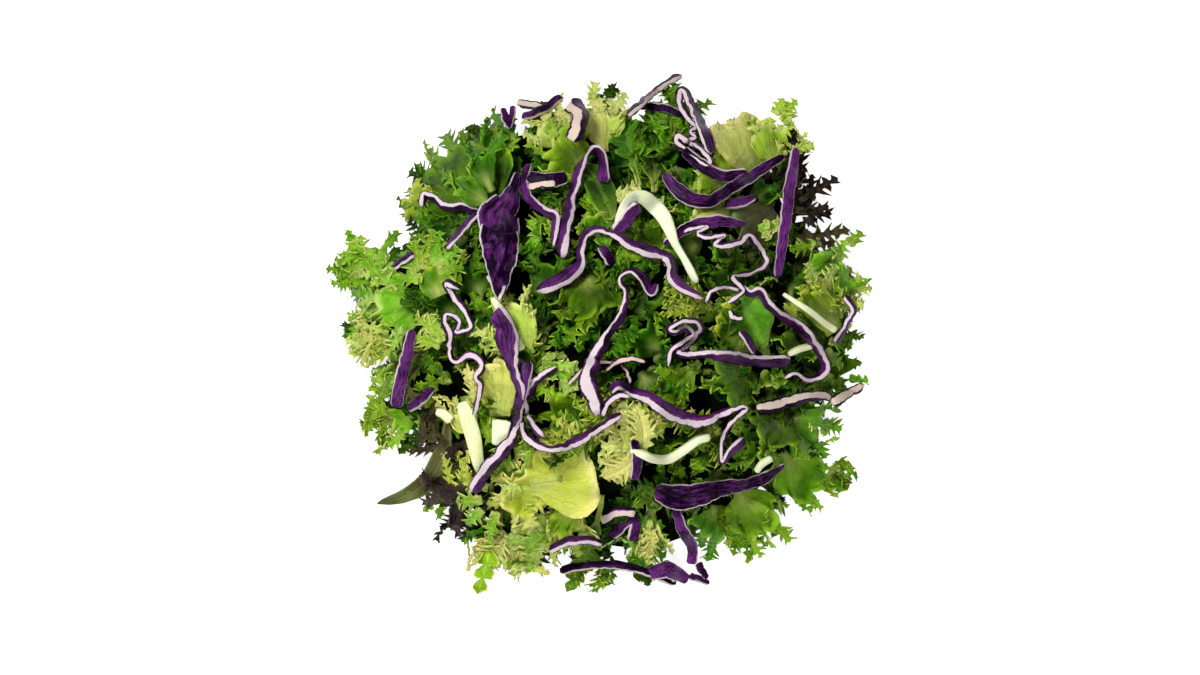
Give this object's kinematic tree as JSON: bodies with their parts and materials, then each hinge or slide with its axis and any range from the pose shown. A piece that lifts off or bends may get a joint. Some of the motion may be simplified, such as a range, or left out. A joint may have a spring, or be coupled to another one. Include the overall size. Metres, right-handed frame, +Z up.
{
  "type": "heap of mixed salad leaves",
  "caption": "Loose low heap of frilly mixed salad leaves with crinkled shreds of red cabbage lying over it, resting on its flat underside.",
  "frame": {"origin": "middle of the heap's bounding box, at the surface it rests on", "axes": "+Z up, away from the surface; -Y is the lower edge of the view from above and +X its right-hand side"},
  "size_m": [0.2178, 0.2082, 0.0747],
  "materials": {
    "green_leaf": "fresh mid-green endive and lettuce leaf, softly glossy, with pale ribs and lit through its thin frills",
    "pale_leaf": "pale yellow-green heart leaves and white ribs, softly glossy",
    "red_leaf": "dark brown-red leaf over olive green, softly glossy",
    "cabbage": "deep purple cabbage skin with white cut faces, waxy",
    "inner_shade": "dark green packed leaves inside the heap, seen only between the outer ones"
  },
  "bodies": {
    "root": {"salad_heap": "green_leaf"}
  },
  "joints": []
}
